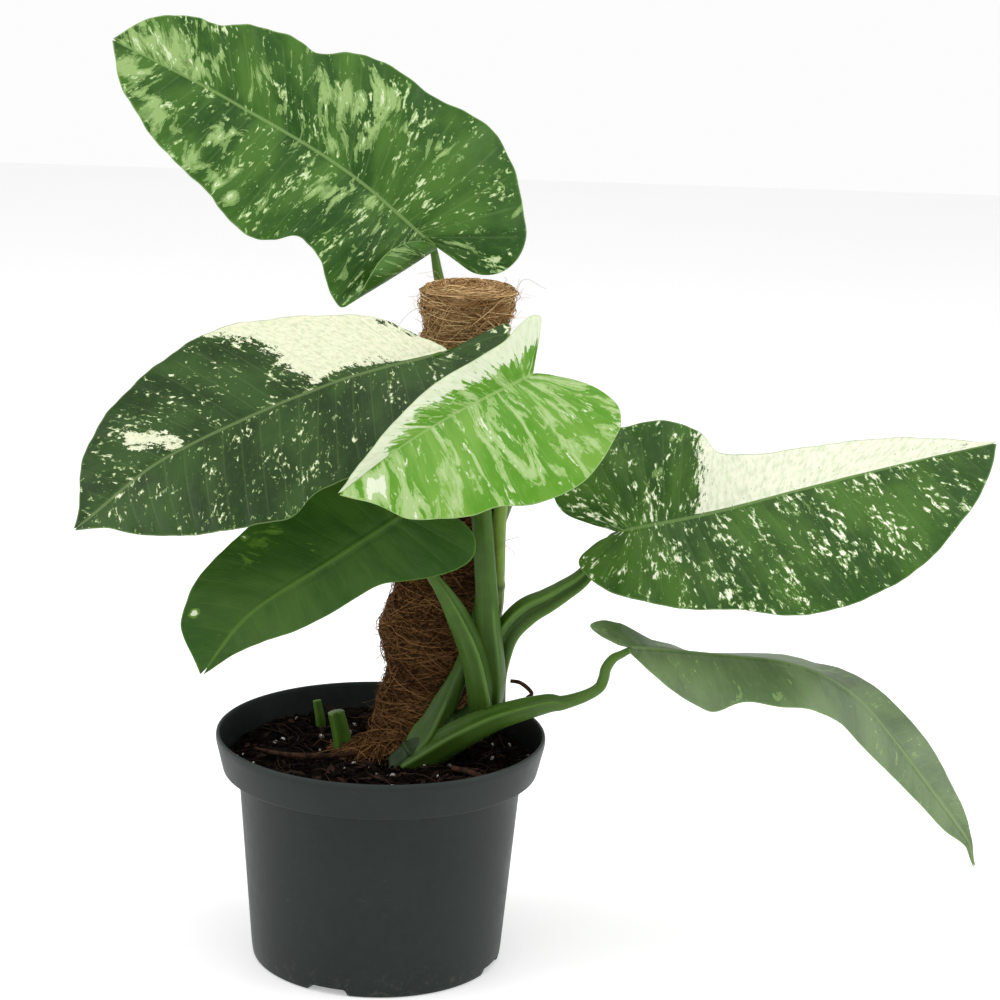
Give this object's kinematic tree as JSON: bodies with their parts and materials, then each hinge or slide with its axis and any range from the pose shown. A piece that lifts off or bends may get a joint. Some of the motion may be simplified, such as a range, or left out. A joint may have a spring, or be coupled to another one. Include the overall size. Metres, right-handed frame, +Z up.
{
  "type": "potted plant",
  "caption": "Variegated climbing houseplant with broad arching leaves, growing up a coconut-fibre pole in a tapered plastic nursery pot filled with potting mix.",
  "frame": {"origin": "centre of the pot's flat base, on the surface it stands on", "axes": "+Z up along the pot's axis; -Y is the front, the side that the leaves face; +X is the plant's right as seen from the front, where the longest leaf points"},
  "size_m": [0.4142, 0.1742, 0.4281],
  "materials": {
    "pot_plastic": "satin, scuffed, very dark green-grey",
    "potting_mix": "rough, damp, near-black peat and bark",
    "coir": "loose brown coconut fibre",
    "stem": "smooth dark green",
    "petiole": "smooth fresh green",
    "leaf_marbled": "green marbled with pale green",
    "leaf_cream_half": "dark green speckled, with a cream sector",
    "leaf_pale": "pale lime streaked with white",
    "leaf_dark": "plain dark green",
    "leaf_glossy": "glossy grey-green",
    "dry_root": "dry, brown",
    "bark": "rough brown bark",
    "perlite": "chalky off-white"
  },
  "bodies": {
    "root": {"bark_chip_back": "bark", "bark_chip_front": "bark", "bark_chip_left": "bark", "bark_chip_right": "bark", "coir_pole": "coir", "cut_stub_left": "petiole", "cut_stub_small": "petiole", "dried_shoot": "dry_root", "leaf_center": "leaf_pale", "leaf_left": "leaf_cream_half", "leaf_lower_left": "leaf_dark", "leaf_lower_right": "leaf_glossy", "leaf_right": "leaf_cream_half", "leaf_top": "leaf_marbled", "main_stem": "stem", "nursery_pot": "pot_plastic", "perlite_back": "perlite", "perlite_front": "perlite", "perlite_left": "perlite", "perlite_right": "perlite", "petiole_center": "petiole", "petiole_left": "petiole", "petiole_lower_left": "petiole", "petiole_lower_right": "petiole", "petiole_right": "petiole", "petiole_top": "petiole", "potting_mix": "potting_mix", "surface_root_long": "dry_root", "surface_root_short": "dry_root"}
  },
  "joints": []
}
